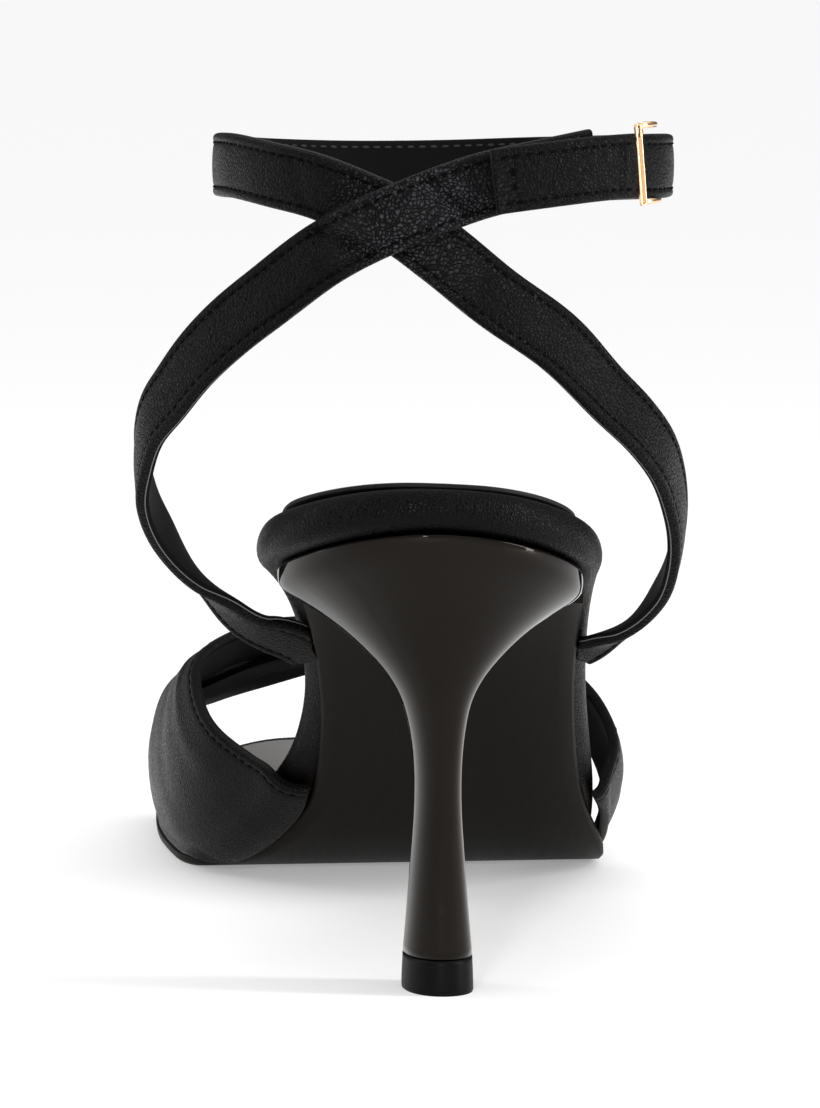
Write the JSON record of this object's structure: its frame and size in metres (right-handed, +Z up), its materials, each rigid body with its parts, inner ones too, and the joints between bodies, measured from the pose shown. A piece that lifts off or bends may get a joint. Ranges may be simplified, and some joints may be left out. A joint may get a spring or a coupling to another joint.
{
  "type": "strappy heeled sandal",
  "caption": "Open sandal with a slim high heel, padded footbed, crossing forefoot straps and a wrapped ankle strap fastened by a small buckle",
  "frame": {"origin": "centre of the heel tip's foot, on the floor", "axes": "+Y to the toe, +X to the outer side of the right foot, +Z up"},
  "size_m": [0.0952, 0.2308, 0.1422],
  "materials": {
    "grained_leather": "black pebble-grained leather, low sheen",
    "outsole_satin": "smooth dark leather sole, satin",
    "heel_gloss": "black lacquered heel, high gloss",
    "tip_satin": "dense black top piece, satin",
    "lining": "smooth dark grey lining",
    "buckle_gold": "polished rose gold plating"
  },
  "bodies": {
    "root": {"outsole": "outsole_satin", "footbed": "grained_leather", "sock_lining": "lining", "heel": "heel_gloss", "heel_tip": "tip_satin", "upper": "grained_leather", "inner_ankle_strap": "grained_leather", "outer_ankle_strap": "grained_leather", "buckle_strap": "grained_leather", "buckle": "buckle_gold"}
  },
  "joints": []
}
